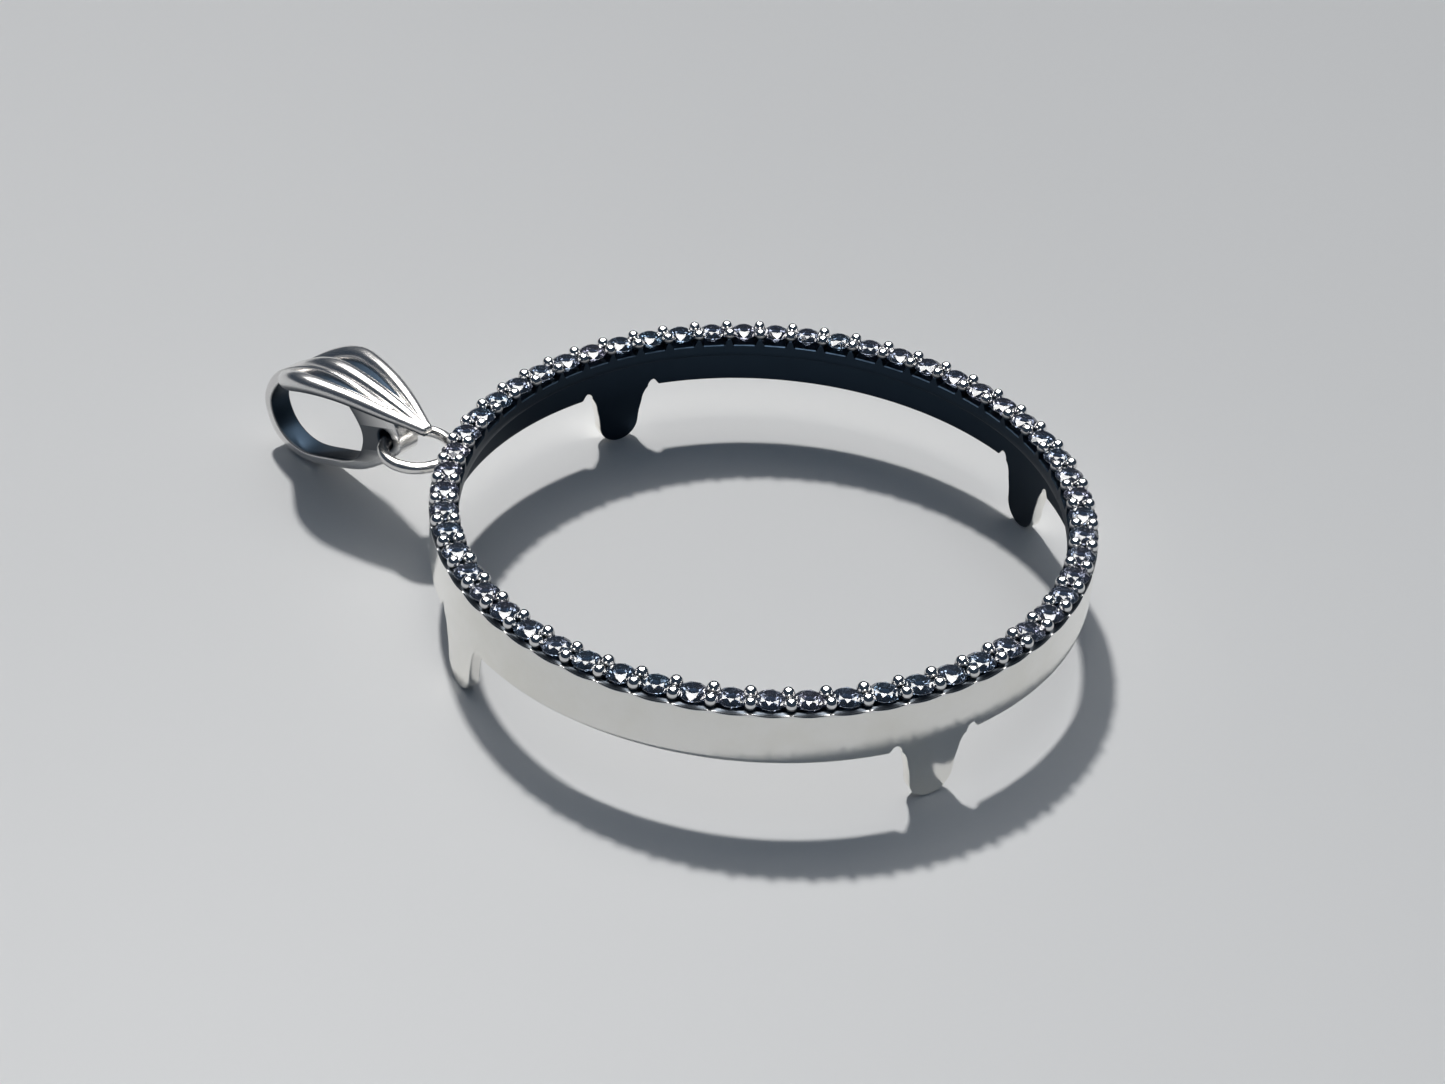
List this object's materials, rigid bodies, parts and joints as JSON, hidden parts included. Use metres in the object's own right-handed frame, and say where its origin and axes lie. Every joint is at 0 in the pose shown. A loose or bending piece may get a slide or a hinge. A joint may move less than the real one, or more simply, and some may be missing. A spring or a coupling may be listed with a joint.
{
  "type": "coin bezel pendant",
  "caption": "Round bezel pendant that frames one large coin, with a ring of small stones, bend-over holding tabs and a ridged bail on a soldered loop.",
  "frame": {"origin": "on the ring's axis, in the plane of the ledge that the coin's face rests against", "axes": "+Z along the ring's axis towards the stones; +Y from the axis to the loop that carries the bail; the coin goes in from -Z"},
  "size_m": [0.0398, 0.0551, 0.0088],
  "materials": {
    "polished_silver": "mirror-polished sterling silver",
    "set_silver": "cast and polished sterling silver, slightly dull in the recesses",
    "tab_silver": "mirror-polished sterling silver",
    "wire_silver": "polished drawn silver wire",
    "bail_silver": "cast and polished sterling silver",
    "stones": "faceted clear round stones"
  },
  "bodies": {
    "bezel": {"band": "polished_silver", "pave_ring": "set_silver", "jump_ring": "wire_silver", "stones_01": "stones", "stones_02": "stones", "stones_03": "stones", "stones_04": "stones", "stones_05": "stones", "stones_06": "stones", "stones_07": "stones", "stones_08": "stones", "stones_09": "stones", "stones_10": "stones", "stones_11": "stones", "stones_12": "stones", "stones_13": "stones", "stones_14": "stones", "stones_15": "stones", "stones_16": "stones", "stones_17": "stones", "stones_18": "stones", "stones_19": "stones"},
    "tab_1": {"tab_1": "tab_silver"},
    "tab_2": {"tab_2": "tab_silver"},
    "tab_3": {"tab_3": "tab_silver"},
    "tab_4": {"tab_4": "tab_silver"},
    "bail": {"bail": "bail_silver"}
  },
  "joints": [
    {"name": "tab_1_bend", "type": "hinge", "parent": "bezel", "child": "tab_1", "pos_m": [0.01377, 0.01377, -0.00277], "axis": [-0.7071, 0.7071, 0], "range_deg": [0, 90]},
    {"name": "tab_2_bend", "type": "hinge", "parent": "bezel", "child": "tab_2", "pos_m": [-0.01377, 0.01377, -0.00277], "axis": [-0.7071, -0.7071, 0], "range_deg": [0, 90]},
    {"name": "tab_3_bend", "type": "hinge", "parent": "bezel", "child": "tab_3", "pos_m": [-0.01377, -0.01377, -0.00277], "axis": [0.7071, -0.7071, 0], "range_deg": [0, 90]},
    {"name": "tab_4_bend", "type": "hinge", "parent": "bezel", "child": "tab_4", "pos_m": [0.01377, -0.01377, -0.00277], "axis": [0.7071, 0.7071, 0], "range_deg": [0, 90]},
    {"name": "bail_swing", "type": "hinge", "parent": "bezel", "child": "bail", "pos_m": [0.00093, 0.02411, -0.00055], "axis": [0.8988, -0.4384, 0], "range_deg": [-95, 90]}
  ]
}
